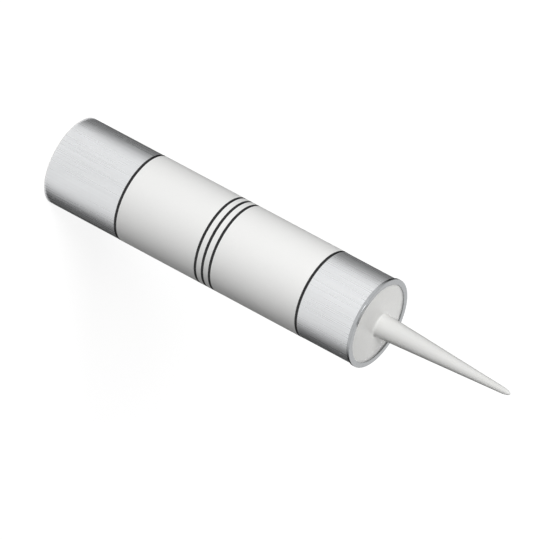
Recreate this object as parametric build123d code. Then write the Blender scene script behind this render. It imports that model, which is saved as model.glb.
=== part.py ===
from build123d import *
import math
import os

# Caulk cartridge of about 290 ml, with a closed, uncut nozzle.
# It stands on its open rear edge with the nozzle up. Millimetres, +Z along the axis,
# origin at the centre of the rear edge. Rear is low, front is high.

# Barrel: wound board, straight bore, front edge turned out into a small lip
BARREL_DIAMETER = 50.0
BARREL_WALL = 1.3
BODY_LENGTH = 200.3  # rear edge to the front face of the end ring
LIP_REACH = 0.32
LIP_HEIGHT = 0.4
LIP_SLOPE = 0.45  # length over which the wall begins to bend out below the lip
LIP_BEND = 0.06  # how far it has bent out by then
REAR_EDGE_CHAMFER = 0.2

# Label: one sheet of paper, wrapped round the barrel and lapped on itself
LABEL_REAR = 46.1  # rear edge of the barrel to the rear edge of the label
LABEL_HEIGHT = 119.8
LABEL_PAPER = 0.09
LABEL_LAP_WIDTH = 7.0
LABEL_LAP_ANGLE = 90.0  # the lap is on the +Y side

# End ring: thin metal, rolled over the barrel's lip and the nozzle's flange
RING_SHEET = 0.25
RING_PROUD = 0.6  # how far it stands out of the barrel
RING_WIDTH = 3.0  # across its flat front face, out to in
RING_BEND = 0.3  # how much its rolled corners take off the square
RING_HOOK_REACH = 0.26  # how far the lower edge is rolled in under the lip
RING_INNER_DROP = 0.9  # how far the inner edge is turned down

# Nozzle: moulded in one with the domed end disc, its flange and its plug
FLANGE_THICKNESS = 0.85
DISC_THICKNESS = 1.6
DOME_RISE = 2.8
PLUG_DEPTH = 2.3
PLUG_WIDTH = 2.6
PLUG_CHAMFER = 0.5
NOZZLE_LENGTH = 83.4
NOZZLE_BASE_DIAMETER = 13.46
NOZZLE_TIP_DIAMETER = 3.7  # where the taper ends and the round tip begins
NOZZLE_WALL = 1.15
TIP_LENGTH = 5.2
ROOT_FILLET = 1.0
SEAL_SEAT_WIDTH = 2.8

# Inner seal: a foil disc bonded over the nozzle's mouth inside the barrel
SEAL_THICKNESS = 0.2
SEAL_OVERLAP = 2.2

# Plunger: moulded cup, open to the rear, with two wiper lips and inner ribs
TAIL_RECESS = 16.5  # rear edge of the barrel to the rear edge of the plunger
PLUNGER_HEIGHT = 16.0
PLUNGER_FLOOR = 1.8
PLUNGER_SKIRT = 1.2
PLUNGER_EDGE_CHAMFER = 0.6
WIPER_DEPTH = 0.8  # how far each lip stands out of the skirt
WIPER_ROOT = 2.6
WIPER_CREST = 0.7
WIPER_INSET = 1.4  # from each end of the plunger to the nearest edge of its lip
RIB_COUNT = 8
RIB_THICKNESS = 1.0
RIB_HEIGHT = 4.5
HUB_DIAMETER = 18.0

# Clearances, radial or axial
PLUNGER_CLEARANCE = 0.05
PLUNGER_GAP = 0.2  # plunger's face to the sealant
FILL_CLEARANCE = 0.05
RING_CLEARANCE = 0.05
FLANGE_CLEARANCE = 0.08
PLUG_CLEARANCE = 0.03
RESIDUE = 1.0  # sealant left under the plug at the end of the plunger's stroke

# Radii that follow from the sizes above
BARREL_RADIUS = BARREL_DIAMETER / 2
BORE_RADIUS = BARREL_RADIUS - BARREL_WALL
LIP_RADIUS = BARREL_RADIUS + LIP_REACH
RING_RADIUS = BARREL_RADIUS + RING_PROUD
RING_OPENING_RADIUS = RING_RADIUS - RING_WIDTH
FLANGE_RADIUS = RING_RADIUS - RING_SHEET - FLANGE_CLEARANCE
DISC_RADIUS = RING_OPENING_RADIUS + RING_SHEET + FLANGE_CLEARANCE
PLUG_RADIUS = BORE_RADIUS - PLUG_CLEARANCE
RECESS_RADIUS = PLUG_RADIUS - PLUG_WIDTH
NOZZLE_BASE_RADIUS = NOZZLE_BASE_DIAMETER / 2
NOZZLE_TIP_RADIUS = NOZZLE_TIP_DIAMETER / 2
MOUTH_RADIUS = NOZZLE_BASE_RADIUS - NOZZLE_WALL
SEAL_RADIUS = MOUTH_RADIUS + SEAL_OVERLAP
SEAT_RADIUS = MOUTH_RADIUS + SEAL_SEAT_WIDTH
FILL_RADIUS = BORE_RADIUS - FILL_CLEARANCE
WIPER_RADIUS = BORE_RADIUS - PLUNGER_CLEARANCE
SKIRT_RADIUS = WIPER_RADIUS - WIPER_DEPTH
CUP_RADIUS = SKIRT_RADIUS - PLUNGER_SKIRT

# Heights that follow from the sizes above
FLANGE_TOP = BODY_LENGTH - RING_SHEET
BARREL_FRONT = FLANGE_TOP - FLANGE_THICKNESS
LIP_UNDERSIDE = BARREL_FRONT - LIP_HEIGHT
DISC_EDGE = BODY_LENGTH - RING_INNER_DROP
PLUG_UNDERSIDE = BARREL_FRONT - PLUG_DEPTH
PLUNGER_FRONT = TAIL_RECESS + PLUNGER_HEIGHT
FILL_REAR = PLUNGER_FRONT + PLUNGER_GAP
FILL_FRONT = PLUG_UNDERSIDE - FILL_CLEARANCE
PLUNGER_STROKE = FILL_FRONT - FILL_REAR - RESIDUE


def turned(section):
    """A solid turned about the barrel's axis from a half section of (radius, height)."""
    return revolve(Plane.XZ * section, Axis.Z)


def circles_at(solid, radius, height):
    """The circular edges of a solid that lie at one radius and height."""

    def lies_there(edge):
        at_height = abs(edge.center().Z - height) < 1e-3
        return at_height and abs(edge.radius - radius) < 1e-3

    return solid.edges().filter_by(GeomType.CIRCLE).filter_by(lies_there)


def dome_height(radius, drop=0.0):
    """Height of the end disc's outer face at a radius, or of a face lying lower by drop."""
    sphere = (DISC_RADIUS**2 + DOME_RISE**2) / (2 * DOME_RISE)
    return DISC_EDGE + DOME_RISE - sphere + math.sqrt(sphere**2 - radius**2) - drop


def dome_arc():
    """The end disc's outer curve, from its edge in to the nozzle's foot."""
    middle = (DISC_RADIUS + NOZZLE_BASE_RADIUS) / 2
    radii = (DISC_RADIUS, middle, NOZZLE_BASE_RADIUS)
    return ThreePointArc(*[(r, dome_height(r)) for r in radii])


# Height of the nozzle's foot on the dome, its tip, and the inner face around its mouth
NOZZLE_FOOT = dome_height(NOZZLE_BASE_RADIUS)
NOZZLE_TIP = NOZZLE_FOOT + NOZZLE_LENGTH
TAPER_END = NOZZLE_TIP - TIP_LENGTH
MOUTH_HEIGHT = dome_height(SEAT_RADIUS, DISC_THICKNESS)


def make_cartridge_tube():
    """The barrel, with its bore, its plain rear edge and the lip at the front."""
    wall = Polyline(
        (BORE_RADIUS, 0),
        (BARREL_RADIUS, 0),
        (BARREL_RADIUS, LIP_UNDERSIDE - LIP_SLOPE),
        (BARREL_RADIUS + LIP_BEND, LIP_UNDERSIDE),
        (LIP_RADIUS, LIP_UNDERSIDE),
        (LIP_RADIUS, BARREL_FRONT),
        (BORE_RADIUS, BARREL_FRONT),
        close=True,
    )
    tube = turned(make_face(wall))
    rear_edges = circles_at(tube, BARREL_RADIUS, 0) + circles_at(tube, BORE_RADIUS, 0)
    return chamfer(rear_edges, REAR_EDGE_CHAMFER)


def ring_sector(inner_radius, outer_radius, start_angle, angle):
    """A flat piece of a ring between two radii, over part of the circle."""
    outer = CenterArc((0, 0), outer_radius, start_angle, angle)
    inner = CenterArc((0, 0), inner_radius, start_angle, angle)
    ends = Line(outer @ 0, inner @ 0) + Line(outer @ 1, inner @ 1)
    return make_face(outer + inner + ends)


def make_label():
    """The wrapped sheet: one turn of paper and a second layer where it laps."""
    sheet_radius = BARREL_RADIUS + LABEL_PAPER
    lap_radius = sheet_radius + LABEL_PAPER
    lap_angle = math.degrees(LABEL_LAP_WIDTH / lap_radius)
    turn = Circle(sheet_radius) - Circle(BARREL_RADIUS)
    lap_start = LABEL_LAP_ANGLE - lap_angle / 2
    lap = ring_sector(BARREL_RADIUS + LABEL_PAPER / 2, lap_radius, lap_start, lap_angle)
    return Pos(0, 0, LABEL_REAR) * extrude(turn + lap, LABEL_HEIGHT)


def make_end_ring():
    """The rolled ring: a flat face, a turned-down inner edge and a hook under the lip."""
    hook_height = LIP_UNDERSIDE - RING_SHEET - RING_CLEARANCE
    inside = RING_RADIUS - RING_SHEET
    throat = RING_OPENING_RADIUS + RING_SHEET
    inner_edge = dome_height(RING_OPENING_RADIUS) + RING_CLEARANCE
    outline = Polyline(
        (RING_OPENING_RADIUS, inner_edge),
        (RING_OPENING_RADIUS, BODY_LENGTH),
        (RING_RADIUS, BODY_LENGTH),
        (RING_RADIUS, hook_height),
        (inside - RING_HOOK_REACH, hook_height),
        (inside - RING_HOOK_REACH, hook_height + RING_SHEET),
        (inside, hook_height + RING_SHEET),
        (inside, FLANGE_TOP),
        (throat, FLANGE_TOP),
        (throat, inner_edge),
        close=True,
    )
    ring = turned(make_face(outline))
    ring = chamfer(circles_at(ring, RING_RADIUS, BODY_LENGTH), RING_BEND)
    ring = chamfer(circles_at(ring, RING_OPENING_RADIUS, BODY_LENGTH), RING_BEND / 2)
    return chamfer(circles_at(ring, RING_RADIUS, hook_height), RING_BEND / 2)


def nozzle_outline():
    """Half section of the nozzle from its foot to the round closed tip."""
    foot = (NOZZLE_BASE_RADIUS, NOZZLE_FOOT)
    shoulder = (NOZZLE_TIP_RADIUS, TAPER_END)
    taper = Line(foot, shoulder)
    tip = Spline(shoulder, (0, NOZZLE_TIP), tangents=(taper % 1, (-1, 0)))
    return taper + tip


def make_nozzle_cap():
    """The end disc with its flange and plug, and the hollow nozzle, as one moulding."""
    outside = Polyline(
        (0, PLUG_UNDERSIDE),
        (PLUG_RADIUS, PLUG_UNDERSIDE),
        (PLUG_RADIUS, BARREL_FRONT),
        (FLANGE_RADIUS, BARREL_FRONT),
        (FLANGE_RADIUS, FLANGE_TOP),
        (DISC_RADIUS, FLANGE_TOP),
        (DISC_RADIUS, DISC_EDGE),
    )
    axis = Line((0, NOZZLE_TIP), (0, PLUG_UNDERSIDE))
    moulding = turned(make_face(outside + dome_arc() + nozzle_outline() + axis))
    moulding = fillet(circles_at(moulding, NOZZLE_BASE_RADIUS, NOZZLE_FOOT), ROOT_FILLET)
    moulding = chamfer(circles_at(moulding, PLUG_RADIUS, PLUG_UNDERSIDE), PLUG_CHAMFER)
    return moulding - make_disc_recess() - make_nozzle_bore()


def disc_hollow(radius, base, drop):
    """Half section of the space under the disc: its roof slopes up to a flat seat."""
    return Polyline(
        (0, base),
        (radius, base),
        (radius, dome_height(radius, drop)),
        (SEAT_RADIUS, dome_height(SEAT_RADIUS, drop)),
        (0, dome_height(SEAT_RADIUS, drop)),
        close=True,
    )


def make_disc_recess():
    """The space inside the plug, up to the disc's inner face and the mouth's seat."""
    return turned(make_face(disc_hollow(RECESS_RADIUS, PLUG_UNDERSIDE, DISC_THICKNESS)))


def make_nozzle_bore():
    """The nozzle's tapered passage, which ends blind below the round tip."""
    end_radius = NOZZLE_TIP_RADIUS - NOZZLE_WALL
    passage = Polyline(
        (0, MOUTH_HEIGHT),
        (MOUTH_RADIUS, MOUTH_HEIGHT),
        (end_radius, TAPER_END),
        (0, TAPER_END),
        close=True,
    )
    return turned(make_face(passage))


def make_inner_seal():
    """The foil disc, bonded to the flat seat around the nozzle's mouth."""
    disc = Cylinder(SEAL_RADIUS, SEAL_THICKNESS, align=(Align.CENTER, Align.CENTER, Align.MAX))
    return Pos(0, 0, MOUTH_HEIGHT) * disc


def make_sealant():
    """The filling, from the plunger's face to the underside of disc and seal."""
    drop = DISC_THICKNESS + SEAL_THICKNESS + FILL_CLEARANCE
    head = turned(make_face(disc_hollow(RECESS_RADIUS - FILL_CLEARANCE, FILL_FRONT, drop)))
    length = FILL_FRONT - FILL_REAR
    body = Cylinder(FILL_RADIUS, length, align=(Align.CENTER, Align.CENTER, Align.MIN))
    return Pos(0, 0, FILL_REAR) * body + head


def make_wiper(rear_height):
    """One wiper lip round the plunger's skirt, tapering out to a narrow crest."""
    flank = (WIPER_ROOT - WIPER_CREST) / 2
    section = Polyline(
        (CUP_RADIUS, rear_height),
        (SKIRT_RADIUS, rear_height),
        (WIPER_RADIUS, rear_height + flank),
        (WIPER_RADIUS, rear_height + flank + WIPER_CREST),
        (SKIRT_RADIUS, rear_height + WIPER_ROOT),
        (CUP_RADIUS, rear_height + WIPER_ROOT),
        close=True,
    )
    return turned(make_face(section))


def make_plunger_ribs():
    """The hub and the radial ribs that stiffen the plunger's floor."""
    floor = PLUNGER_FRONT - PLUNGER_FLOOR
    hub_radius = HUB_DIAMETER / 2
    low = (Align.CENTER, Align.CENTER, Align.MIN)
    hub = Cylinder(hub_radius, RIB_HEIGHT, align=low)
    hub = hub - Cylinder(hub_radius - RIB_THICKNESS, RIB_HEIGHT, align=low)
    reach = CUP_RADIUS - hub_radius + RIB_THICKNESS + PLUNGER_SKIRT / 2
    rib = Box(reach, RIB_THICKNESS, RIB_HEIGHT, align=(Align.MIN, Align.CENTER, Align.MIN))
    ribs = PolarLocations(hub_radius - RIB_THICKNESS / 2, RIB_COUNT) * rib
    return Pos(0, 0, floor - RIB_HEIGHT) * (hub + ribs)


def make_plunger():
    """The cup that a gun's push plate drives up the barrel."""
    section = Polyline(
        (0, PLUNGER_FRONT - PLUNGER_FLOOR),
        (CUP_RADIUS, PLUNGER_FRONT - PLUNGER_FLOOR),
        (CUP_RADIUS, TAIL_RECESS),
        (SKIRT_RADIUS, TAIL_RECESS),
        (SKIRT_RADIUS, PLUNGER_FRONT),
        (0, PLUNGER_FRONT),
        close=True,
    )
    cup = turned(make_face(section))
    cup = chamfer(circles_at(cup, SKIRT_RADIUS, PLUNGER_FRONT), PLUNGER_EDGE_CHAMFER)
    front_lip = make_wiper(PLUNGER_FRONT - WIPER_INSET - WIPER_ROOT)
    rear_lip = make_wiper(TAIL_RECESS + WIPER_INSET)
    return cup + front_lip + rear_lip + make_plunger_ribs()


def main():
    """Writes one STEP file for each physical piece."""
    pieces = {
        "cartridge_tube": make_cartridge_tube(),
        "label": make_label(),
        "end_ring": make_end_ring(),
        "nozzle_cap": make_nozzle_cap(),
        "inner_seal": make_inner_seal(),
        "sealant": make_sealant(),
        "plunger": make_plunger(),
    }
    os.makedirs("parts", exist_ok=True)
    for name, shape in pieces.items():
        export_step(shape, f"parts/{name}.step")
    print("plunger stroke", round(PLUNGER_STROKE, 3))
    print("fill volume in ml", round(pieces["sealant"].volume / 1000, 1))


main()
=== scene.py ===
import logging
import math
from collections.abc import Sequence
from dataclasses import dataclass
from enum import Enum, IntEnum
from functools import cached_property

import bpy
import numpy as np
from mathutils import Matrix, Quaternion, Vector


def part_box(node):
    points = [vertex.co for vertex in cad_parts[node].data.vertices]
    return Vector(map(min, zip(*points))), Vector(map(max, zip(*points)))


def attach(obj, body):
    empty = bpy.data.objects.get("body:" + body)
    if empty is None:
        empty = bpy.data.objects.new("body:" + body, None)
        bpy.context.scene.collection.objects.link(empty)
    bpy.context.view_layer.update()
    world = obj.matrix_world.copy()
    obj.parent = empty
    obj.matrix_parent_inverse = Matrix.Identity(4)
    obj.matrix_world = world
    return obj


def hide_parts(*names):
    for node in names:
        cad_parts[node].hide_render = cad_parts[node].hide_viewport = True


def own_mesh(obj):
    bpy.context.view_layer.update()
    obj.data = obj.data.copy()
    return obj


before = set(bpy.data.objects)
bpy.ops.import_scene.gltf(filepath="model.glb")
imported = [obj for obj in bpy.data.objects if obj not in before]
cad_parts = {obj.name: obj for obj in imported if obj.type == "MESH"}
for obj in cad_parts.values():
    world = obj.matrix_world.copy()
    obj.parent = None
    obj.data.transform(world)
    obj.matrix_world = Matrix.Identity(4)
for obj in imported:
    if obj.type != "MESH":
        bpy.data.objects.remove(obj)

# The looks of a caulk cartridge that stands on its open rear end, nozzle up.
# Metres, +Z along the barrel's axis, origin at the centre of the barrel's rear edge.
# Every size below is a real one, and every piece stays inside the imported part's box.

log = logging.getLogger("caulk_cartridge")

MM = 0.001
CARTRIDGE = "cartridge"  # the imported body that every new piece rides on
POLE_RADIUS = 1e-9  # a ring that is narrower is one point on the axis
SAME_POINT = 1e-3 * MM  # two points of a section that are nearer are one
ROUNDED_SHARE = 0.40  # the most of a side that a corner's rounding takes
GUARD_SHARE = 0.49  # the most of a side that lies inside a corner's guard point
GUARD_REACH = 1.7  # how far out the guard point lies, for a rounding's reach of 1
MID_NOISE = (0.3, 0.7)  # the range of most of a noise's values
ALL_NOISE = (0.2, 0.8)  # the range of nearly all of them
COVER = "cover"  # the attribute that says how solid a dark card is

Colour = tuple[float, float, float]
Place = tuple[float, float, float]
Span = tuple[float, float]
Material = bpy.types.Material
Mesh = bpy.types.Mesh
Socket = bpy.types.NodeSocket


class Grain(Enum):
    """How a finish's fine lines run on a turned piece."""

    AXIAL = "along the barrel"
    ROUND = "round the barrel"
    EVEN = "no direction"


def spread(middle: float, reach: float) -> Span:
    """The range that reaches as far below a middle value as above it."""
    return middle - reach, middle + reach


class NodeSheet:
    """Lays out the nodes of one tree, from its coordinates to its surface."""

    def __init__(self, tree: bpy.types.NodeTree) -> None:
        """Empties the tree and keeps it."""
        self.tree = tree
        self.tree.nodes.clear()

    @cached_property
    def place(self) -> Socket:
        """The object's own coordinates, in metres."""
        return self.node("ShaderNodeTexCoord").outputs["Object"]

    def node(self, kind: str, **settings: object) -> bpy.types.Node:
        """Adds a node and sets its own properties.

        Args:
            kind: Blender's name of the node type.
            settings: properties of the node and their values.

        Returns:
            The new node.
        """
        made = self.tree.nodes.new(kind)
        for key, value in settings.items():
            setattr(made, key, value)
        return made

    def feed(self, socket: Socket, value: object) -> None:
        """Links a socket to another one, or sets it to a plain value.

        Args:
            socket: the input that is fed.
            value: an output socket, a number, a vector or a colour.
        """
        if isinstance(value, Socket):
            self.tree.links.new(value, socket)
        elif socket.type == "RGBA" and len(value) == 3:
            socket.default_value = (*value, 1.0)
        else:
            socket.default_value = value

    def wired(self, kind: str, *parts: Socket, **values: object) -> Socket:
        """Adds a node and feeds its inputs.

        Args:
            kind: Blender's name of the node type.
            parts: what its first inputs get, in order.
            values: what other inputs get, by name, with _ for each space.

        Returns:
            The node's first output.
        """
        made = self.node(kind)
        for socket, part in zip(made.inputs, parts):
            self.feed(socket, part)
        for key, value in values.items():
            self.feed(made.inputs[key.replace("_", " ")], value)
        return made.outputs[0]

    def math(self, operation: str, *values: object) -> Socket:
        """One Math node over sockets or numbers.

        Args:
            operation: the node's operation.
            values: its inputs in order.

        Returns:
            The node's output.
        """
        made = self.node("ShaderNodeMath", operation=operation)
        for socket, value in zip(made.inputs, values):
            self.feed(socket, value)
        return made.outputs[0]

    def remap(self, value: Socket, own: Span, new: Span) -> Socket:
        """Moves a number from one range to another, held at both ends.

        Args:
            value: the number's socket.
            own: start and end of its own range.
            new: what the start and the end become.

        Returns:
            The moved number's socket.
        """
        made = self.node("ShaderNodeMapRange", clamp=True)
        names = ("Value", "From Min", "From Max", "To Min", "To Max")
        for key, number in zip(names, (value, *own, *new)):
            self.feed(made.inputs[key], number)
        return made.outputs["Result"]

    def axes(self) -> tuple[Socket, Socket, Socket]:
        """The place's three parts.

        Returns:
            Sockets of X, Y and Z, in metres.
        """
        parts = self.node("ShaderNodeSeparateXYZ")
        self.feed(parts.inputs[0], self.place)
        return parts.outputs[0], parts.outputs[1], parts.outputs[2]

    def bearing(self) -> Socket:
        """The angle round the barrel's axis, from +X towards +Y, in radians."""
        x, y, _ = self.axes()
        return self.math("ARCTAN2", y, x)

    def height_and_radius(self) -> tuple[Socket, Socket]:
        """The distance along the barrel's axis and the distance from it.

        Returns:
            Sockets of the height and the radius, in metres.
        """
        x, y, height = self.axes()
        square = self.math("ADD", self.math("MULTIPLY", x, x), self.math("MULTIPLY", y, y))
        return height, self.math("SQRT", square)

    def noise(self, grain: Grain, size: float, detail: float = 3.0, stretch: float = 1.0) -> Socket:
        """Cloudy noise between 0 and 1 whose features have about that size.

        Args:
            grain: the direction of its lines.
            size: a feature's width in metres.
            detail: how many finer layers it has.
            stretch: how much longer than wide a line along the barrel is.

        Returns:
            The noise's socket.
        """
        where = self.place
        if grain is Grain.ROUND:
            height, radius = self.height_and_radius()
            where = self.wired("ShaderNodeCombineXYZ", X=radius, Z=height)
        elif grain is Grain.AXIAL:
            squeezed = self.node("ShaderNodeVectorMath", operation="MULTIPLY")
            self.feed(squeezed.inputs[0], where)
            self.feed(squeezed.inputs[1], (1.0, 1.0, 1.0 / stretch))
            where = squeezed.outputs[0]
        return self.wired("ShaderNodeTexNoise", Vector=where, Scale=1.0 / size, Detail=detail)

    def blend(self, share: Socket, first: object, second: object) -> Socket:
        """A colour that goes from one to another.

        Args:
            share: 0 for the first colour and 1 for the second.
            first: a colour or its socket.
            second: a colour or its socket.

        Returns:
            The blended colour's socket.
        """
        made = self.node("ShaderNodeMix", data_type="RGBA")
        for place, value in ((0, share), (6, first), (7, second)):
            self.feed(made.inputs[place], value)
        return made.outputs[2]

    def shade(self, colour: Colour, noise: Socket, depth: float) -> Socket:
        """A colour with darker patches.

        Args:
            colour: the colour where the noise is high.
            noise: the noise whose low values are the patches.
            depth: the share by which the darkest patch is darker.

        Returns:
            The shaded colour's socket.
        """
        darker = tuple(part * (1.0 - depth) for part in colour)
        return self.blend(self.remap(noise, MID_NOISE, (0.0, 1.0)), darker, colour)

    def relief(self, height: Socket, depth: float, under: Socket | None = None) -> Socket:
        """A bumped normal.

        Args:
            height: socket of the relief, 0 to 1.
            depth: its real depth in metres.
            under: the normal of a coarser relief below it.

        Returns:
            The normal's socket.
        """
        below = {} if under is None else {"Normal": under}
        return self.wired("ShaderNodeBump", Distance=depth, Height=height, **below)

    def seen(self) -> Socket:
        """1 for the camera's own rays and for those that metal or glass throws on.

        Returns:
            The socket, 0 or 1.
        """
        path = self.node("ShaderNodeLightPath")
        thrown = self.math("MAXIMUM", path.outputs["Is Glossy Ray"], path.outputs["Is Transmission Ray"])
        return self.math("MAXIMUM", path.outputs["Is Camera Ray"], thrown)

    def end(self, surface: Socket, kind: str = "ShaderNodeOutputMaterial") -> None:
        """Ends the tree in that surface."""
        self.feed(self.node(kind).inputs["Surface"], surface)

    def surface(self, **values: object) -> None:
        """Ends the tree in a Principled surface with those inputs."""
        self.end(self.wired("ShaderNodeBsdfPrincipled", **values))


class Finish:
    """What every finish shares: a name, and nodes that it lays out on a sheet."""

    name: str

    def lay_out(self, sheet: NodeSheet) -> None:
        """Lays out the finish's own nodes; each finish has its own way."""
        raise NotImplementedError

    def material(self) -> Material:
        """Makes the finish's material.

        Returns:
            The new material, with its nodes laid out.
        """
        made = bpy.data.materials.new(self.name)
        made.use_nodes = True
        self.lay_out(NodeSheet(made.node_tree))
        return made


@dataclass(frozen=True)
class FoilFace(Finish):
    """Satin aluminium foil on wound board: soft waves, rolling lines and light scuffs."""

    name: str = "satin_foil_face"
    colour: Colour = (0.76, 0.77, 0.78)
    edge_tint: Colour = (0.45, 0.45, 0.46)
    metal: float = 0.7
    roughness: float = 0.30
    scuffed: float = 0.14
    scuff_size: float = 2.2 * MM
    scuff_range: Span = (0.60, 0.74)
    line_width: float = 0.9 * MM
    line_stretch: float = 60.0
    line_depth: float = 0.014 * MM
    wave_length: float = 16 * MM
    wave_depth: float = 0.10 * MM

    def lay_out(self, sheet: NodeSheet) -> None:
        """Lays out waves under rolling lines, rougher where the foil is scuffed.

        Args:
            sheet: where its nodes go.
        """
        lines = sheet.noise(Grain.AXIAL, self.line_width, detail=5.0, stretch=self.line_stretch)
        waves = sheet.noise(Grain.EVEN, self.wave_length, detail=1.0)
        scuffs = sheet.noise(Grain.EVEN, self.scuff_size, detail=6.0)
        rolled = sheet.remap(lines, MID_NOISE, spread(self.roughness, reach=0.05))
        worn = sheet.remap(scuffs, self.scuff_range, (0.0, self.scuffed))
        sheet.surface(
            Base_Color=sheet.shade(self.colour, lines, depth=0.08),
            Metallic=self.metal,
            Roughness=sheet.math("ADD", rolled, worn),
            Normal=sheet.relief(lines, self.line_depth, sheet.relief(waves, self.wave_depth)),
            Specular_Tint=self.edge_tint,
        )


@dataclass(frozen=True)
class BoardEdge(Finish):
    """The cut edge of the wound board: one pale ply over another, with glue lines."""

    name: str = "wound_board_edge"
    colour: Colour = (0.56, 0.50, 0.42)
    glue: Colour = (0.36, 0.31, 0.25)
    glue_share: float = 0.16
    glue_hollow: float = 0.6
    ply: float = 0.26 * MM
    bore: float = 23.7 * MM
    ragged_size: float = 0.5 * MM
    ragged_reach: float = 0.05 * MM
    fibre_size: float = 0.18 * MM
    fibre_depth: float = 0.06 * MM

    def lay_out(self, sheet: NodeSheet) -> None:
        """Lays out the plies by their distance from the bore, with ragged glue lines.

        Args:
            sheet: where its nodes go.
        """
        _, radius = sheet.height_and_radius()
        ragged = sheet.noise(Grain.EVEN, self.ragged_size, detail=5.0)
        shift = sheet.remap(ragged, ALL_NOISE, spread(0.0, self.ragged_reach))
        depth = sheet.math("ADD", sheet.math("SUBTRACT", radius, self.bore), shift)
        step = sheet.math("PINGPONG", depth, self.ply / 2)
        seam = sheet.remap(step, (0.0, self.ply * self.glue_share), (1.0, 0.0))
        fibres = sheet.noise(Grain.EVEN, self.fibre_size, detail=4.0)
        board = sheet.shade(self.colour, fibres, depth=0.22)
        hollow = sheet.math("SUBTRACT", fibres, sheet.math("MULTIPLY", seam, self.glue_hollow))
        sheet.surface(
            Base_Color=sheet.blend(seam, board, self.glue),
            Roughness=sheet.remap(fibres, MID_NOISE, (0.78, 0.95)),
            Normal=sheet.relief(hollow, self.fibre_depth),
        )


@dataclass(frozen=True)
class BoreLiner(Finish):
    """The foil liner inside the bore, wound in a helix whose seam shows."""

    name: str = "bore_liner_foil"
    colour: Colour = (0.66, 0.67, 0.68)
    seam_colour: Colour = (0.42, 0.42, 0.43)
    pitch: float = 58 * MM
    seam_width: float = 0.9 * MM
    seam_depth: float = 0.05 * MM
    crinkle_size: float = 1.4 * MM
    crinkle_depth: float = 0.03 * MM

    def lay_out(self, sheet: NodeSheet) -> None:
        """Lays out crinkled foil with a helix, the height less the pitch by the angle.

        Args:
            sheet: where its nodes go.
        """
        climb = sheet.math("MULTIPLY", sheet.bearing(), self.pitch / (2 * math.pi))
        height, _ = sheet.height_and_radius()
        along = sheet.math("PINGPONG", sheet.math("SUBTRACT", height, climb), self.pitch / 2)
        seam = sheet.remap(along, (0.0, self.seam_width), (1.0, 0.0))
        crinkle = sheet.noise(Grain.EVEN, self.crinkle_size, detail=5.0)
        crinkled = sheet.relief(crinkle, self.crinkle_depth)
        sheet.surface(
            Base_Color=sheet.blend(seam, sheet.shade(self.colour, crinkle, depth=0.10), self.seam_colour),
            Metallic=1.0,
            Roughness=sheet.remap(crinkle, MID_NOISE, (0.30, 0.46)),
            Normal=sheet.relief(seam, self.seam_depth, crinkled),
        )


@dataclass(frozen=True)
class LabelPaper(Finish):
    """Coated white paper with plain printed lines round it, and a dark band at its cut end on the lap: the
    raw edge's darker tone with painted shade of the sheet's step.
    """

    lines: tuple[float, ...]
    line_width: float
    end_angle: float
    end_width: float
    name: str = "coated_label_paper"
    colour: Colour = (0.93, 0.93, 0.92)
    ink: Colour = (0.008, 0.008, 0.009)
    # the cut end's colour: a darker raw edge with painted shade of the step where the sheet ends on itself
    edge_and_shade_colour: Colour = (0.40, 0.39, 0.36)
    edge_and_shade_share: float = 0.55
    edge_and_shade_core: float = 0.3
    gloss: float = 0.35
    ink_polish: float = 0.08
    bleed_size: float = 0.3 * MM
    bleed_reach: float = 0.03 * MM
    soft_edge: float = 0.02 * MM
    fibre_size: float = 0.35 * MM
    fibre_depth: float = 0.006 * MM
    wave_length: float = 24 * MM
    wave_depth: float = 0.08 * MM

    def inked(self, sheet: NodeSheet) -> Socket:
        """The share of ink, 1 inside each line and 0 between them, with slightly uneven edges.

        Args:
            sheet: where its nodes go.

        Returns:
            The share's socket.
        """
        height, _ = sheet.height_and_radius()
        bleed = sheet.noise(Grain.EVEN, self.bleed_size, detail=3.0)
        height = sheet.math("ADD", height, sheet.remap(bleed, ALL_NOISE, spread(0.0, self.bleed_reach)))
        edge = spread(self.line_width / 2, self.soft_edge)
        total: object = 0.0
        for line in self.lines:
            off = sheet.math("ABSOLUTE", sheet.math("SUBTRACT", height, line))
            total = sheet.math("ADD", total, sheet.remap(off, edge, (1.0, 0.0)))
        return sheet.math("MINIMUM", total, 1.0)

    def cut_end_and_shade(self, sheet: NodeSheet) -> Socket:
        """The share of the cut end's dark band, raw edge and painted shade of its step, full in its core
        and 0 beside it.

        Args:
            sheet: where its nodes go.

        Returns:
            The share's socket.
        """
        off = sheet.math("ABSOLUTE", sheet.math("SUBTRACT", sheet.bearing(), self.end_angle))
        return sheet.remap(off, (self.edge_and_shade_core * self.end_width, self.end_width), (self.edge_and_shade_share, 0.0))

    def lay_out(self, sheet: NodeSheet) -> None:
        """Lays out fibres on soft waves, the ink over them, and the cut end's dark band with its painted
        shade.

        Args:
            sheet: where its nodes go.
        """
        ink = self.inked(sheet)
        fibres = sheet.noise(Grain.EVEN, self.fibre_size, detail=5.0)
        waves = sheet.noise(Grain.EVEN, self.wave_length, detail=1.0)
        paper = sheet.shade(self.colour, fibres, depth=0.025)
        solid = sheet.shade(self.ink, fibres, depth=0.35)
        dull = sheet.remap(fibres, MID_NOISE, (0.40, 0.50))
        sheet.surface(
            # the dark band at the cut end is partly painted shade of the sheet's step
            Base_Color=sheet.blend(self.cut_end_and_shade(sheet), sheet.blend(ink, paper, solid), self.edge_and_shade_colour),
            Roughness=sheet.math("SUBTRACT", dull, sheet.math("MULTIPLY", ink, self.ink_polish)),
            Normal=sheet.relief(fibres, self.fibre_depth, sheet.relief(waves, self.wave_depth)),
            Specular_IOR_Level=self.gloss,
        )


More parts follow.
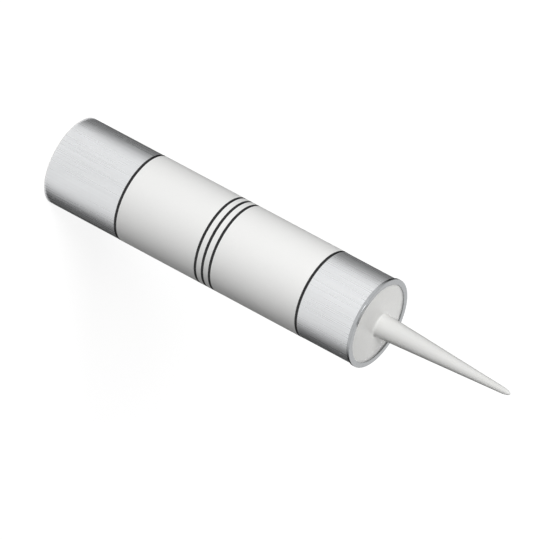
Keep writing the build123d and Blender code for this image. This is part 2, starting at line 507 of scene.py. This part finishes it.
@dataclass(frozen=True)
class Tinplate(Finish):
    """Bright tinned steel with the fine lines that rolling it round leaves."""

    name: str = "rolled_tinplate"
    colour: Colour = (0.42, 0.43, 0.44)
    line_width: float = 0.09 * MM
    line_depth: float = 0.0015 * MM
    spangle_size: float = 1.6 * MM
    spangle_depth: float = 0.006 * MM

    def lay_out(self, sheet: NodeSheet) -> None:
        """Lays out rolled lines over the tin's spangle.

        Args:
            sheet: where its nodes go.
        """
        lines = sheet.noise(Grain.ROUND, self.line_width, detail=3.0)
        spangle = sheet.noise(Grain.EVEN, self.spangle_size, detail=4.0)
        sheet.surface(
            Base_Color=sheet.shade(self.colour, spangle, depth=0.10),
            Metallic=1.0,
            Roughness=sheet.remap(lines, (0.25, 0.75), (0.15, 0.25)),
            Normal=sheet.relief(lines, self.line_depth, sheet.relief(spangle, self.spangle_depth)),
        )


@dataclass(frozen=True)
class Polyethylene(Finish):
    """Moulded polyethylene: satin, a little translucent, with faint flow clouds."""

    name: str
    colour: Colour = (0.78, 0.78, 0.765)
    roughness: float = 0.31
    pore_size: float = 0.4 * MM
    pore_depth: float = 0.004 * MM
    flow_width: float = 1.8 * MM
    flow_stretch: float = 9.0
    flow_depth: float = 0.02 * MM
    glow_depth: float = 0.6 * MM

    def lay_out(self, sheet: NodeSheet) -> None:
        """Lays out pores over flow clouds, with some light passing under the skin.

        Args:
            sheet: where its nodes go.
        """
        pores = sheet.noise(Grain.EVEN, self.pore_size, detail=3.0)
        flow = sheet.noise(Grain.AXIAL, self.flow_width, detail=3.0, stretch=self.flow_stretch)
        sheet.surface(
            Base_Color=sheet.shade(self.colour, flow, depth=0.03),
            Roughness=sheet.remap(pores, MID_NOISE, (self.roughness - 0.04, self.roughness + 0.08)),
            Normal=sheet.relief(pores, self.pore_depth, sheet.relief(flow, self.flow_depth)),
            Subsurface_Weight=0.10,
            Subsurface_Radius=(1.0, 1.0, 0.9),
            Subsurface_Scale=self.glow_depth,
            IOR=1.5,
        )


@dataclass(frozen=True)
class SealantPaste(Finish):
    """The white filling: smooth, with soft folds where it was pumped in."""

    name: str = "sealant_paste"
    colour: Colour = (0.90, 0.90, 0.88)
    fold_size: float = 5 * MM
    fold_depth: float = 0.3 * MM
    pore_size: float = 0.4 * MM
    pore_depth: float = 0.02 * MM
    glow_depth: float = 1.5 * MM

    def lay_out(self, sheet: NodeSheet) -> None:
        """Lays out pores over folds that run round the bore.

        Args:
            sheet: where its nodes go.
        """
        folds = sheet.noise(Grain.ROUND, self.fold_size, detail=4.0)
        pores = sheet.noise(Grain.EVEN, self.pore_size, detail=5.0)
        sheet.surface(
            Base_Color=sheet.shade(self.colour, folds, depth=0.05),
            Roughness=sheet.remap(pores, MID_NOISE, (0.34, 0.5)),
            Normal=sheet.relief(pores, self.pore_depth, sheet.relief(folds, self.fold_depth)),
            Subsurface_Weight=0.15,
            Subsurface_Radius=(1.0, 1.0, 1.0),
            Subsurface_Scale=self.glow_depth,
        )


@dataclass(frozen=True)
class SealFoil(Finish):
    """Thin bonded foil, pressed over the nozzle's mouth."""

    name: str = "mouth_seal_foil"
    colour: Colour = (0.85, 0.86, 0.87)
    crinkle_size: float = 1.1 * MM
    crinkle_depth: float = 0.05 * MM

    def lay_out(self, sheet: NodeSheet) -> None:
        """Lays out crinkled foil.

        Args:
            sheet: where its nodes go.
        """
        crinkle = sheet.noise(Grain.EVEN, self.crinkle_size, detail=5.0)
        sheet.surface(
            Base_Color=sheet.shade(self.colour, crinkle, depth=0.08),
            Metallic=1.0,
            Roughness=sheet.remap(crinkle, MID_NOISE, (0.22, 0.36)),
            Normal=sheet.relief(crinkle, self.crinkle_depth),
        )


def soft_turn(start: np.ndarray, corner: np.ndarray, end: np.ndarray, t: np.ndarray) -> np.ndarray:
    """The curve (1-t)^2 A + 2t(1-t) P + t^2 B, from A round the corner P to B.

    Args:
        start: the point A, or one a row.
        corner: the point P.
        end: the point B.
        t: the places on the curve, 0 to 1.

    Returns:
        The curve's points.
    """
    return (1 - t) ** 2 * start + 2 * t * (1 - t) * corner + t**2 * end


def eased(share: np.ndarray) -> np.ndarray:
    """A share that leaves 0 and reaches 1 softly, s^2 (3 - 2s)."""
    return share**2 * (3 - 2 * share)


@dataclass(frozen=True)
class Corner:
    """One corner of a half section: its radius, its height, and its rounding's reach."""

    radius: float
    height: float
    rounding: float = 0.0


def rounded_section(corners: Sequence[Corner], closed: bool, steps: int = 6) -> np.ndarray:
    """A half section with soft corners.

    A corner P with neighbours gives way to the curve (1-t)^2 A + 2t(1-t) P + t^2 B, where A
    and B lie on its two sides at the rounding's reach. One guard point further out on each
    side keeps the flats flat in shading. A corner without rounding stays one point.

    Args:
        corners: the section's corners, counter-clockwise with the radius to the right.
        closed: whether the last corner joins the first.
        steps: points on each rounding.

    Returns:
        Points of (radius, height), one a row.
    """
    at = np.array([(c.radius, c.height) for c in corners])
    reach = np.array([c.rounding for c in corners])[:, None]
    sides = [np.roll(at, way, axis=0) - at for way in (1, -1)]
    pairs = [(side, np.linalg.norm(side, axis=1, keepdims=True)) for side in sides]
    start, end = (at + side / long * np.minimum(reach, ROUNDED_SHARE * long) for side, long in pairs)
    guard = GUARD_REACH * reach
    before, after = (at + side / long * np.minimum(guard, GUARD_SHARE * long) for side, long in pairs)
    t = np.linspace(0.0, 1.0, steps)[None, :, None]
    curve = soft_turn(start[:, None], at[:, None], end[:, None], t)
    points = np.concatenate([before[:, None], curve, after[:, None]], axis=1).reshape(-1, 2)
    gap = np.linalg.norm(np.diff(points, axis=0, prepend=points[-1:]), axis=1)
    keep = gap > SAME_POINT
    if not closed:
        keep[0] = True
    return points[keep]


def turned_mesh(
    name: str, section: np.ndarray, closed: bool, slots: np.ndarray | None = None, segments: int = 320
) -> Mesh:
    """Turns a half section about the barrel's axis.

    The point of ring i at angle a is (r cos a, r sin a, h) for the section's (r, h). Two rings
    are joined by four-sided faces, and a ring of no radius is one point with a fan round it.

    Args:
        name: the mesh's name.
        section: points of (radius, height), counter-clockwise, so faces point outwards.
        closed: whether the last point joins the first.
        slots: the material slot of each stretch of the section, from its point to the next.
        segments: faces round the axis.

    Returns:
        The mesh, smooth shaded.
    """
    radius, height = section[:, 0], section[:, 1]
    angle = np.linspace(0.0, 2 * np.pi, segments, endpoint=False)
    level = np.broadcast_to(height[:, None], (len(height), segments))
    grid = np.stack([np.outer(radius, np.cos(angle)), np.outer(radius, np.sin(angle)), level], axis=2)
    pole = radius < POLE_RADIUS
    own = np.where(pole, 1, segments)
    first = np.concatenate([[0], np.cumsum(own)[:-1]])
    index = first[:, None] + np.where(pole[:, None], 0, np.arange(segments)[None, :])
    used = ~pole[:, None] | (np.arange(segments)[None, :] == 0)
    low = index if closed else index[:-1]
    high = np.roll(index, -1, axis=0) if closed else index[1:]
    corners = np.stack([low, np.roll(low, -1, axis=1), np.roll(high, -1, axis=1), high], axis=2)
    low_pole, high_pole = corners[..., 0] == corners[..., 1], corners[..., 2] == corners[..., 3]
    between = ~low_pole & ~high_pole
    fans = corners[low_pole][:, [0, 2, 3]].tolist() + corners[high_pole][:, [0, 1, 2]].tolist()
    mesh = bpy.data.meshes.new(name)
    mesh.from_pydata(grid[used].tolist(), [], corners[between].tolist() + fans)
    if slots is not None:
        per_face = np.broadcast_to(slots[:, None], corners.shape[:2])
        order = np.concatenate([per_face[between], per_face[low_pole], per_face[high_pole]])
        mesh.polygons.foreach_set("material_index", order.astype(np.int32))
    mesh.shade_smooth()
    mesh.update()
    return mesh


def placed(name: str, data: bpy.types.ID) -> bpy.types.Object:
    """Links a new object into the scene.

    Args:
        name: the object's name.
        data: its mesh, light or camera.

    Returns:
        The object, at the origin and unturned.
    """
    made = bpy.data.objects.new(name, data)
    bpy.context.scene.collection.objects.link(made)
    return made


def add_piece(mesh: Mesh, node: str, finishes: Sequence[Finish]) -> bpy.types.Object:
    """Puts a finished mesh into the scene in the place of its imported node.

    Args:
        mesh: the piece's mesh, already in its place.
        node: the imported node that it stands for.
        finishes: its finishes in slot order.

    Returns:
        The piece's object.
    """
    for finish in finishes:
        mesh.materials.append(finish.material())
    piece = placed(mesh.name, mesh)
    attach(piece, CARTRIDGE)
    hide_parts(node)
    log.info("%s: %d faces, stands for %s", piece.name, len(mesh.polygons), node)
    return piece


def dress_node(node: str, finish: Finish) -> None:
    """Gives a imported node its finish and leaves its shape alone.

    Args:
        node: the node's name.
        finish: what its surface is.
    """
    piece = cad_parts[node]
    piece.data.materials.clear()
    piece.data.materials.append(finish.material())
    log.info("%s: packed node, dressed in %s", node, finish.name)


class BarrelFace(IntEnum):
    """The barrel's material slots."""

    FOIL = 0
    BOARD = 1
    LINER = 2


@dataclass
class Barrel:
    """The wound board tube, with its lip under the end ring."""

    radius: float = 25.0 * MM
    bore: float = 23.7 * MM
    lip_radius: float = 25.32 * MM
    lip_height: float = 0.4 * MM
    lip_slope: float = 0.45 * MM
    lip_bend: float = 0.06 * MM
    edge_rounding: float = 0.28 * MM
    rear_cut: float = 0.16 * MM  # how far up the rear edge bare board shows
    front_cut: float = 0.05 * MM  # how far down the front edge it shows
    slack: float = 0.01 * MM  # how far past the bore's radius a face still counts as liner

    def section(self) -> np.ndarray:
        """The wall's half section, from the bore's rear edge round to its front edge.

        Returns:
            Points of (radius, height) round the wall.
        """
        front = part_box("cartridge_tube")[1].z
        under = front - self.lip_height
        return rounded_section(
            [
                Corner(self.bore, 0.0, self.edge_rounding),
                Corner(self.radius, 0.0, self.edge_rounding),
                Corner(self.radius, under - self.lip_slope, 0.2 * MM),
                Corner(self.radius + self.lip_bend, under, 0.03 * MM),
                Corner(self.lip_radius, under, 0.1 * MM),
                Corner(self.lip_radius, front, 0.1 * MM),
                Corner(self.bore, front, 0.05 * MM),
            ],
            closed=True,
        )

    def slots(self, section: np.ndarray) -> np.ndarray:
        """Foil outside, liner inside, and uncovered board on the two cut edges.

        Args:
            section: the closed half section.

        Returns:
            One slot for each stretch of the section.
        """
        middle = (section + np.roll(section, -1, axis=0)) / 2
        front = section[:, 1].max()
        cut = (middle[:, 1] < self.rear_cut) | (middle[:, 1] > front - self.front_cut)
        inside = middle[:, 0] < self.bore + self.slack
        return np.where(cut, BarrelFace.BOARD, np.where(inside, BarrelFace.LINER, BarrelFace.FOIL))

    def build(self) -> None:
        """Makes the barrel and dresses it."""
        section = self.section()
        mesh = turned_mesh("barrel_tube", section, True, self.slots(section))
        finishes = [FoilFace(), BoardEdge(bore=self.bore), BoreLiner()]
        add_piece(mesh, "cartridge_tube", finishes)


@dataclass
class WrappedLabel:
    """The paper label: one sheet wound once round the barrel and lapped on itself."""

    radius: float = 25.0 * MM
    paper: float = 0.09 * MM
    lap_width: float = 7.0 * MM
    lap_angle: float = 90.0
    climb: float = 1.6 * MM  # the way along the sheet on which it climbs its own start
    hard_angle: float = 40.0
    line_width: float = 1.6 * MM
    ring_heights: tuple[float, ...] = (99.4 * MM, 104.0 * MM, 108.6 * MM)

    def lap(self) -> Span:
        """The angles, in radians, at which the sheet starts and at which it ends a turn later.

        Returns:
            The start's angle and the end's angle less a turn.
        """
        half = self.lap_width / (self.radius + 2 * self.paper) / 2
        return spread(math.radians(self.lap_angle), half)

    def line_heights(self, low: float, high: float) -> tuple[float, ...]:
        """Heights of the lines along the edges low and high and of the three rings between."""
        half = self.line_width / 2
        return low + half, high - half, *self.ring_heights

    def mesh(self, low: float, high: float, stations: int = 360, rows: int = 24) -> Mesh:
        """The wound sheet.

        At angle a along the sheet its inner face lies at R, and at R + t once it runs over its
        own start, with a smooth climb between them. The outer face lies t further out. The
        section across the sheet is the loop up the outer face and down the inner one.

        Args:
            low: height of the sheet's rear edge.
            high: height of its front edge.
            stations: places along the sheet.
            rows: places across each face.

        Returns:
            The closed sheet's mesh.
        """
        start, end = self.lap()
        turn = np.linspace(0.0, 2 * np.pi + end - start, stations)
        reached = np.clip((turn - 2 * np.pi) / (self.climb / self.radius) + 1.0, 0.0, 1.0)
        inner = self.radius + self.paper * eased(reached)
        up = np.linspace(low, high, rows)
        outside = np.concatenate([np.ones(rows), np.zeros(rows)])
        radius = inner[:, None] + self.paper * outside[None, :]
        level = np.broadcast_to(np.concatenate([up, up[::-1]]), radius.shape)
        angle = (start + turn)[:, None]
        grid = np.stack([radius * np.cos(angle), radius * np.sin(angle), level], axis=2)
        index = np.arange(radius.size).reshape(radius.shape)
        near, far = index[:-1], index[1:]
        faces = np.stack([near, far, np.roll(far, -1, axis=1), np.roll(near, -1, axis=1)], axis=2)
        ends = [index[0].tolist(), index[-1][::-1].tolist()]
        mesh = bpy.data.meshes.new("wrapped_label")
        mesh.from_pydata(grid.reshape(-1, 3).tolist(), [], faces.reshape(-1, 4).tolist() + ends)
        mesh.shade_smooth()
        mesh.set_sharp_from_angle(angle=math.radians(self.hard_angle))
        return mesh

    def build(self) -> None:
        """Makes the label and dresses it."""
        low, high = (corner.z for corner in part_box("label"))
        _, end = self.lap()
        finish = LabelPaper(self.line_heights(low, high), self.line_width, end, self.paper / self.radius)
        add_piece(self.mesh(low, high), "label", [finish])


@dataclass
class EndRing:
    """The thin metal ring that is rolled over the barrel's lip and the nozzle's flange."""

    sheet: float = 0.25 * MM
    radius: float = 25.6 * MM
    opening: float = 22.6 * MM
    inner_depth: float = 0.77 * MM  # how far the inner edge is turned down, to just above the disc
    shoulder: float = 0.5 * MM
    bend: float = 0.24 * MM
    hook_reach: float = 0.26 * MM

    def section(self) -> np.ndarray:
        """The rolled strip's half section: down the inside and back up the outside.

        Returns:
            Points of (radius, height) round the strip.
        """
        low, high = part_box("end_ring")
        inside = self.radius - self.sheet
        throat = self.opening + self.sheet
        inner_edge = high.z - self.inner_depth
        return rounded_section(
            [
                Corner(self.opening, inner_edge, 0.1 * MM),
                Corner(throat, inner_edge, 0.1 * MM),
                Corner(throat, high.z - self.sheet, 0.08 * MM),
                Corner(inside, high.z - self.sheet, self.shoulder - self.sheet),
                Corner(inside, low.z + self.sheet, 0.04 * MM),
                Corner(inside - self.hook_reach, low.z + self.sheet, 0.07 * MM),
                Corner(inside - self.hook_reach, low.z, 0.1 * MM),
                Corner(self.radius, low.z, self.bend),
                Corner(self.radius, high.z, self.shoulder),
                Corner(self.opening, high.z, self.bend),
            ],
            closed=True,
            steps=9,
        )

    def build(self) -> None:
        """Makes the ring and dresses it."""
        mesh = turned_mesh("rolled_end_ring", self.section(), True)
        add_piece(mesh, "end_ring", [Tinplate()])


@dataclass
class MouldedNozzle:
    """The end disc, its plug and flange, and the closed nozzle, moulded in one."""

    plug_radius: float = 23.67 * MM
    plug_width: float = 2.6 * MM
    plug_depth: float = 2.3 * MM
    plug_chamfer: float = 0.5 * MM
    flange_radius: float = 25.27 * MM
    flange_thickness: float = 0.85 * MM
    disc_radius: float = 22.93 * MM
    disc_edge: float = 199.4 * MM
    disc_thickness: float = 1.6 * MM
    rim_rounding: float = 0.5 * MM
    dome_rise: float = 2.8 * MM
    seat_radius: float = 8.38 * MM
    foot_radius: float = 6.73 * MM
    foot_fillet: float = 1.0 * MM
    foot_clear: float = 1.8 * MM  # how far from the foot's corner the dome and the taper end
    wall: float = 1.15 * MM
    shoulder_radius: float = 1.85 * MM
    tip_length: float = 5.2 * MM

    def dome(self, radius: np.ndarray | float) -> np.ndarray | float:
        """Height of the disc's outer face at a radius, on a sphere through edge and crown."""
        sphere = (self.disc_radius**2 + self.dome_rise**2) / (2 * self.dome_rise)
        return self.disc_edge + self.dome_rise - sphere + np.sqrt(sphere**2 - radius**2)

    def inside(self, end: float) -> list[Corner]:
        """The corners from the blind end of the passage out to the plug's underside.

        Args:
            end: height where the passage ends.

        Returns:
            The inner corners, from the axis outwards.
        """
        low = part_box("nozzle_cap")[0].z
        recess = self.plug_radius - self.plug_width
        seat = self.dome(self.seat_radius) - self.disc_thickness
        return [
            Corner(0.0, end),
            Corner(self.shoulder_radius - self.wall, end, 0.2 * MM),
            Corner(self.foot_radius - self.wall, seat, 0.25 * MM),
            Corner(self.seat_radius, seat, 0.3 * MM),
            Corner(recess, self.dome(recess) - self.disc_thickness, 0.6 * MM),
            Corner(recess, low, 0.25 * MM),
            Corner(self.plug_radius - self.plug_chamfer, low, 0.12 * MM),
            Corner(self.plug_radius, low + self.plug_chamfer, 0.12 * MM),
        ]

    def flange(self) -> list[Corner]:
        """The corners of the flange under the ring, up to the edge of the dome.

        Returns:
            The flange's corners, from the plug outwards and up.
        """
        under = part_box("nozzle_cap")[0].z + self.plug_depth
        top = under + self.flange_thickness
        return [
            Corner(self.plug_radius, under, 0.05 * MM),
            Corner(self.flange_radius, under, 0.12 * MM),
            Corner(self.flange_radius, top, 0.12 * MM),
            Corner(self.disc_radius, top, 0.08 * MM),
            Corner(self.disc_radius, self.disc_edge, 0.12 * MM),
        ]

    def foot(self, level: float, slope: float) -> np.ndarray:
        """The soft foot: (1-t)^2 A + 2t(1-t) P + t^2 B from the dome round to the taper.

        Args:
            level: height of the corner P, where taper and dome would meet.
            slope: how much the taper's radius shrinks with its height.

        Returns:
            Points of (radius, height) up the foot.
        """
        out = self.foot_radius + self.foot_fillet
        start = np.array([out, self.dome(out)])
        corner = np.array([self.foot_radius, level])
        end = np.array([self.foot_radius - slope * self.foot_fillet, level + self.foot_fillet])
        return soft_turn(start, corner, end, np.linspace(0.0, 1.0, 12)[:, None])

    def nose(self, shoulder: float, slope: float) -> np.ndarray:
        """The round tip.

        At a turn t from 0 to a quarter circle its point lies L sin t above the taper's end,
        at the radius (R - s L sin t) cos t, where s is the taper's slope. So it leaves the
        taper smoothly and closes square to the axis.

        Args:
            shoulder: height of the taper's end.
            slope: how much the taper's radius shrinks with its height.

        Returns:
            Points of (radius, height) from the taper to the axis.
        """
        turn = np.linspace(0.0, np.pi / 2, 28)[1:]
        along = self.tip_length * np.sin(turn)
        radius = (self.shoulder_radius - slope * along) * np.cos(turn)
        points = np.stack([radius, shoulder + along], axis=1)
        points[-1, 0] = 0.0
        return points

    def outside(self, tip: float) -> np.ndarray:
        """The visible outline: the dome, the soft foot, the straight taper and the round tip.

        Args:
            tip: height of the nozzle's very end.

        Returns:
            Points of (radius, height) from the dome's edge to the axis.
        """
        shoulder = tip - self.tip_length
        foot = self.dome(self.foot_radius)
        slope = (self.foot_radius - self.shoulder_radius) / (shoulder - foot)
        out = np.linspace(self.disc_radius - self.rim_rounding, self.foot_radius + self.foot_clear, 30)
        dome = np.stack([out, self.dome(out)], axis=1)
        rise = np.linspace(foot + self.foot_clear, shoulder, 60)
        taper = np.stack([self.foot_radius - slope * (rise - foot), rise], axis=1)
        return np.concatenate([dome, self.foot(foot, slope), taper, self.nose(shoulder, slope)])

    def build(self) -> None:
        """Makes the nozzle and dresses it."""
        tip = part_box("nozzle_cap")[1].z
        hidden = rounded_section(self.inside(tip - self.tip_length) + self.flange(), closed=False)
        mesh = turned_mesh("moulded_nozzle", np.concatenate([hidden, self.outside(tip)]), False)
        finish = Polyethylene("nozzle_polyethylene")
        add_piece(mesh, "nozzle_cap", [finish])


@dataclass
class Filling:
    """The sealant between plunger and disc, and the foil that seals the nozzle's mouth."""

    radius: float = 23.65 * MM
    head_radius: float = 21.02 * MM
    seat_radius: float = 8.38 * MM
    front: float = 196.85 * MM
    head_rim: float = 197.99 * MM
    rounding: float = 0.3 * MM
    segments: int = 160
    squeezed: float = 0.007  # the share of its length that is left with the plunger forward

    def section(self) -> np.ndarray:
        """A plug as wide as the bore, with a head in the end disc's hollow.

        Returns:
            Points of (radius, height) from the axis out, up and back to the axis.
        """
        low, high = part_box("sealant")
        return rounded_section(
            [
                Corner(0.0, low.z),
                Corner(self.radius, low.z, self.rounding),
                Corner(self.radius, self.front, self.rounding),
                Corner(self.head_radius, self.front, 0.1 * MM),
                Corner(self.head_radius, self.head_rim, self.rounding),
                Corner(self.seat_radius, high.z, self.rounding),
                Corner(0.0, high.z),
            ],
            closed=False,
        )

    def build(self) -> None:
        """Makes the filling on a mesh of its own, and dresses the seal."""
        mesh = turned_mesh("sealant_fill", self.section(), False, segments=self.segments)
        piece = add_piece(mesh, "sealant", [SealantPaste()])
        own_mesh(piece)
        dress_node("inner_seal", SealFoil())


@dataclass
class Plunger:
    """The moulded cup in the bore, which is shown as it was packed."""

    colour: Colour = (0.88, 0.88, 0.86)
    roughness: float = 0.42

    def build(self) -> None:
        """Dresses the plunger."""
        dress_node("plunger", Polyethylene("plunger_polyethylene", self.colour, self.roughness))


@dataclass(frozen=True)
class FloorPaint(Finish):
    """A pale floor that keeps the shadow, is white elsewhere, and is clear from below."""

    name: str = "studio_floor"
    tone: float = 0.38
    glow: float = 0.77
    cloud_size: float = 0.6

    def lay_out(self, sheet: NodeSheet) -> None:
        """Lays out matt paint with a glow for rays that see it, and nothing on its back.

        Args:
            sheet: where its nodes go.
        """
        cloud = sheet.noise(Grain.EVEN, self.cloud_size, detail=2.0)
        matt = sheet.wired("ShaderNodeBsdfDiffuse", Color=sheet.shade((self.tone,) * 3, cloud, depth=0.01))
        glow = sheet.math("MULTIPLY", sheet.seen(), self.glow)
        shine = sheet.wired("ShaderNodeEmission", Strength=glow)
        top = sheet.wired("ShaderNodeAddShader", matt, shine)
        clear = sheet.wired("ShaderNodeBsdfTransparent")
        back = sheet.node("ShaderNodeNewGeometry").outputs["Backfacing"]
        sheet.end(sheet.wired("ShaderNodeMixShader", back, top, clear))


@dataclass(frozen=True)
class CardBoard(Finish):
    """Dark board that is as solid as its mesh's cover attribute says."""

    name: str = "dark_board"
    tone: float = 0.06

    def lay_out(self, sheet: NodeSheet) -> None:
        """Lays out matt board that thins into nothing.

        Args:
            sheet: where its nodes go.
        """
        matt = sheet.wired("ShaderNodeBsdfDiffuse", Color=(self.tone,) * 3)
        clear = sheet.wired("ShaderNodeBsdfTransparent")
        cover = sheet.node("ShaderNodeAttribute", attribute_name=COVER).outputs["Fac"]
        sheet.end(sheet.wired("ShaderNodeMixShader", cover, clear, matt))


@dataclass
class DarkCards:
    """Two dark cards on the floor beside the object, which only show in its glossy surfaces."""

    start: float = 36.0
    full: float = 64.0
    end: float = 86.0
    foot: float = 25.7 * MM
    reach: float = 1.2
    height: float = 0.5 * MM
    stations: int = 32

    def mesh(self, name: str, side: float) -> Mesh:
        """One card, which lies where the barrel's flank is mirrored.

        The flank at the angle a from the camera's side throws the camera's ray off at 2a, so
        for each a the card runs from b (sin a, -cos a) at the barrel's foot, out by
        r (sin 2a, -cos 2a). It is clear at its first angle and its cover grows by
        t^2 (3 - 2t) until it is full.

        Args:
            name: the mesh's name.
            side: 1 for the +X flank and -1 for the other.

        Returns:
            The card's mesh, with its cover attribute.
        """
        turn = np.linspace(self.start, self.end, self.stations)
        cover = eased(np.clip((turn - self.start) / (self.full - self.start), 0.0, 1.0))
        angle = np.radians(turn)
        near = self.foot * np.stack([side * np.sin(angle), -np.cos(angle)], axis=1)
        far = near + self.reach * np.stack([side * np.sin(2 * angle), -np.cos(2 * angle)], axis=1)
        level = np.full((2 * self.stations, 1), self.height)
        rims = np.concatenate([np.concatenate([near, far]), level], axis=1)
        step = np.arange(self.stations - 1)
        faces = np.stack([step, step + 1, step + 1 + self.stations, step + self.stations], axis=1)
        mesh = bpy.data.meshes.new(name)
        mesh.from_pydata(rims.tolist(), [], faces.tolist())
        values = mesh.attributes.new(COVER, "FLOAT", "POINT").data
        values.foreach_set("value", np.tile(cover, 2).astype(np.float32))
        return mesh

    def build(self) -> None:
        """Lays one card on each side, unseen but for glossy rays."""
        board = CardBoard().material()
        for name, side in (("dark_card_right", 1.0), ("dark_card_left", -1.0)):
            mesh = self.mesh(name, side)
            mesh.materials.append(board)
            card = placed(name, mesh)
            card.visible_camera = card.visible_diffuse = card.visible_shadow = False
            card.visible_transmission = card.visible_volume_scatter = False


@dataclass(frozen=True)
class Lamp:
    """A square soft light: where it stands, its side, its watts, and whether gloss shows it."""

    name: str
    place: Place
    size: float
    power: float
    glare: bool

    def build(self, aim: Vector) -> None:
        """Puts the light up.

        Args:
            aim: the point that it faces.
        """
        light = bpy.data.lights.new(self.name, "AREA")
        light.shape, light.size, light.energy = "SQUARE", self.size, self.power
        lamp = placed(self.name, light)
        lamp.location = self.place
        lamp.rotation_mode = "QUATERNION"
        lamp.rotation_quaternion = (aim - Vector(self.place)).to_track_quat("-Z", "Y")
        lamp.visible_camera = False
        lamp.visible_glossy = self.glare


@dataclass(frozen=True)
class FarCamera:
    """The far camera with a long lens, turned so that the nozzle points down to the right."""

    elevation: float = 24.8
    roll: float = 118.117
    lens: float = 1000.0
    sensor: float = 36.0
    frame_width: float = 0.2824
    target: Place = (0.0019, 0.0, 0.1308)

    def build(self) -> None:
        """Puts the camera up and makes it the scene's own."""
        rise = math.radians(self.elevation)
        back = Vector((0.0, -math.cos(rise), math.sin(rise)))
        distance = self.frame_width / 2 / (self.sensor / 2 / self.lens)
        data = bpy.data.cameras.new("camera")
        data.type, data.lens, data.sensor_width = "PERSP", self.lens, self.sensor
        data.clip_start, data.clip_end = 0.5, distance * 3
        camera = placed("camera", data)
        camera.location = Vector(self.target) + back * distance
        camera.rotation_mode = "QUATERNION"
        level = (-back).to_track_quat("-Z", "Y")
        camera.rotation_quaternion = level @ Quaternion((0.0, 0.0, 1.0), math.radians(self.roll))
        bpy.context.scene.camera = camera


@dataclass
class Studio:
    """The pale floor, the soft lights and the camera at the drawing's angle."""

    floor_size: float = 8.0
    ambient: float = 0.14
    aim: Place = (0.0, 0.0, 0.12)
    lamps: tuple[Lamp, ...] = (
        Lamp("key", (-0.86, -1.92, 1.46), size=1.4, power=44.0, glare=False),
        Lamp("sheen", (-0.66, -1.90, 1.30), size=0.7, power=10.0, glare=True),
        Lamp("back", (0.1, 2.4, 0.8), size=0.8, power=38.0, glare=False),
        Lamp("under", (0.0, 0.0, -1.4), size=0.8, power=12.0, glare=True),
    )

    def world(self) -> None:
        """Even light from all round, seen as white."""
        world = bpy.data.worlds.new("studio")
        bpy.context.scene.world = world
        world.use_nodes = True
        sheet = NodeSheet(world.node_tree)
        soft = sheet.wired("ShaderNodeBackground", Color=(1.0, 1.0, 1.0), Strength=self.ambient)
        white = sheet.wired("ShaderNodeBackground", Color=(1.0, 1.0, 1.0), Strength=1.0)
        both = sheet.wired("ShaderNodeMixShader", sheet.seen(), soft, white)
        sheet.end(both, "ShaderNodeOutputWorld")

    def floor(self) -> None:
        """A square floor under the rear edge, clear from below, so that the open end can be seen."""
        half = self.floor_size / 2
        corners = [(-half, -half, 0.0), (half, -half, 0.0), (half, half, 0.0), (-half, half, 0.0)]
        mesh = bpy.data.meshes.new("floor")
        mesh.from_pydata(corners, [], [(0, 1, 2, 3)])
        mesh.materials.append(FloorPaint().material())
        floor = placed("floor", mesh)
        floor.visible_shadow = False

    def build(self) -> None:
        """Sets up world, floor, lights, cards, camera and the view transform."""
        self.world()
        self.floor()
        for lamp in self.lamps:
            lamp.build(Vector(self.aim))
        DarkCards().build()
        FarCamera().build()
        bpy.context.scene.view_settings.view_transform = "Standard"


def main() -> None:
    """Builds each sub-assembly in order, then the studio round them."""
    logging.basicConfig(level=logging.INFO, format="%(name)s %(message)s")
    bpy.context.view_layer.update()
    for part in (Barrel(), WrappedLabel(), EndRing(), MouldedNozzle(), Filling(), Plunger(), Studio()):
        part.build()
        log.info("built %s", type(part).__name__)


if __name__ == "__main__":
    main()
